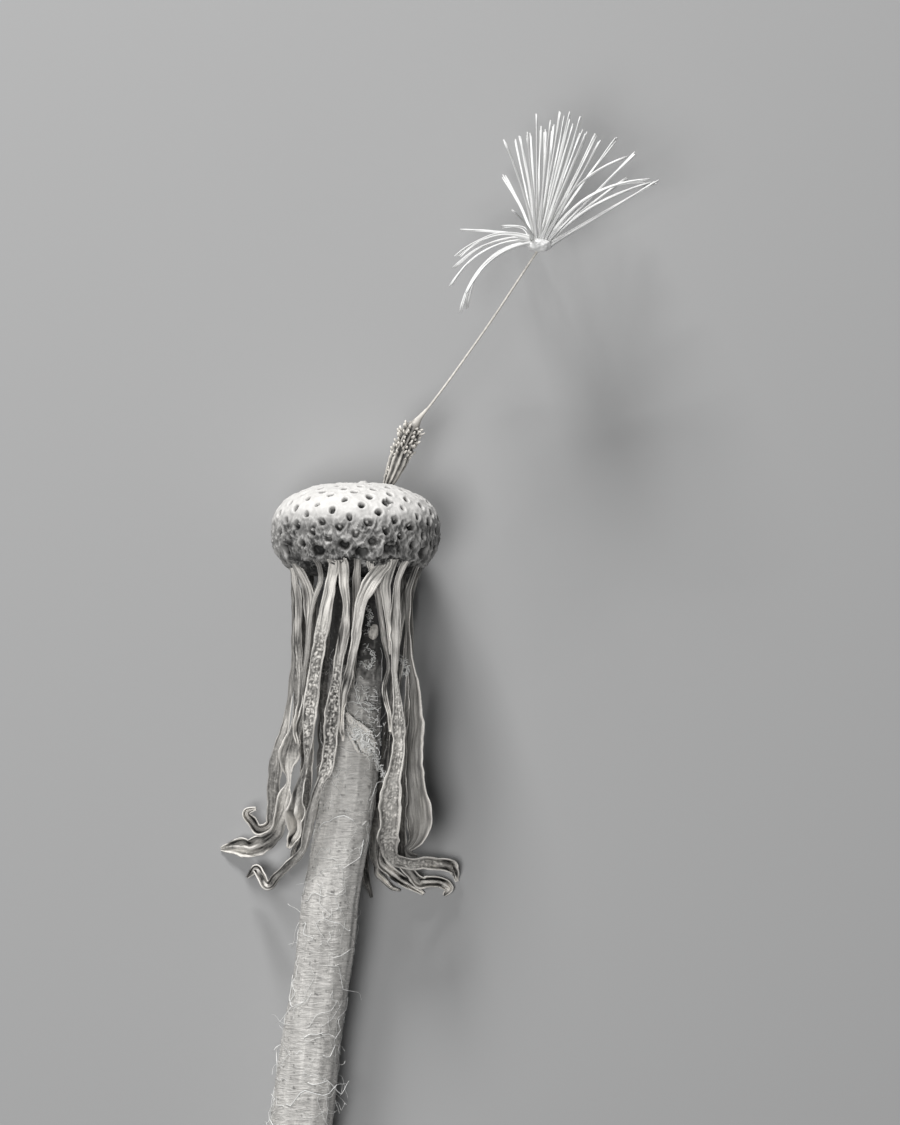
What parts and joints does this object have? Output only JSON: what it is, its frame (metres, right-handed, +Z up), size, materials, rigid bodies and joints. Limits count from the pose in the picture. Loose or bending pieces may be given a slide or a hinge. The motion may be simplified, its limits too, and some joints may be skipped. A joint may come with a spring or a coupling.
{
  "type": "dandelion seed head",
  "caption": "Spent dandelion head cut with its hollow stem and laid down: a pitted receptacle, withered hanging bracts and one seed still standing with its tattered parachute.",
  "frame": {"origin": "bottom centre of the whole piece as it lies, on the surface that it rests on", "axes": "+Y along the piece from the cut end of the stem to the parachute of the seed, +X to the side that the seed leans to, +Z up from the surface"},
  "size_m": [0.0212, 0.0572, 0.0092],
  "materials": {
    "stem_skin": "pale, matte, finely wrinkled hollow stalk with faint ribs",
    "receptacle_skin": "pale, matte, spongy and evenly pitted",
    "dry_bract": "dry, papery, fibrous along its length, with paler rolled edges",
    "seed_coat": "matte, ribbed below and rough with small teeth above",
    "bristle": "white, fine, slightly glossy hairs stuck together in strands"
  },
  "bodies": {
    "root": {"stem": "stem_skin", "receptacle": "receptacle_skin", "bract_01": "dry_bract", "bract_02": "dry_bract", "bract_03": "dry_bract", "bract_04": "dry_bract", "bract_05": "dry_bract", "bract_06": "dry_bract", "bract_07": "dry_bract", "bract_08": "dry_bract", "bract_09": "dry_bract", "bract_10": "dry_bract", "bract_11": "dry_bract", "bract_12": "dry_bract", "bract_13": "dry_bract", "bract_14": "dry_bract", "bract_15": "dry_bract", "bract_16": "dry_bract", "bract_17": "dry_bract", "bract_18": "dry_bract", "seed": "seed_coat", "pappus_tuft_01": "bristle", "pappus_tuft_02": "bristle", "pappus_tuft_03": "bristle", "pappus_tuft_04": "bristle", "pappus_tuft_05": "bristle", "pappus_tuft_06": "bristle", "pappus_tuft_07": "bristle", "pappus_tuft_08": "bristle", "pappus_tuft_09": "bristle", "pappus_tuft_10": "bristle", "pappus_tuft_11": "bristle", "pappus_tuft_12": "bristle", "pappus_tuft_13": "bristle", "pappus_tuft_14": "bristle", "pappus_tuft_15": "bristle", "pappus_tuft_16": "bristle", "pappus_tuft_17": "bristle", "pappus_tuft_18": "bristle", "pappus_tuft_19": "bristle", "pappus_tuft_20": "bristle", "pappus_tuft_21": "bristle", "pappus_tuft_22": "bristle", "pappus_tuft_23": "bristle", "pappus_tuft_24": "bristle", "pappus_tuft_25": "bristle", "pappus_tuft_26": "bristle", "pappus_tuft_27": "bristle", "pappus_tuft_28": "bristle", "pappus_tuft_29": "bristle", "pappus_tuft_30": "bristle", "pappus_tuft_31": "bristle", "pappus_tuft_32": "bristle", "pappus_tuft_33": "bristle", "pappus_tuft_34": "bristle", "pappus_tuft_35": "bristle", "pappus_tuft_36": "bristle"}
  },
  "joints": []
}
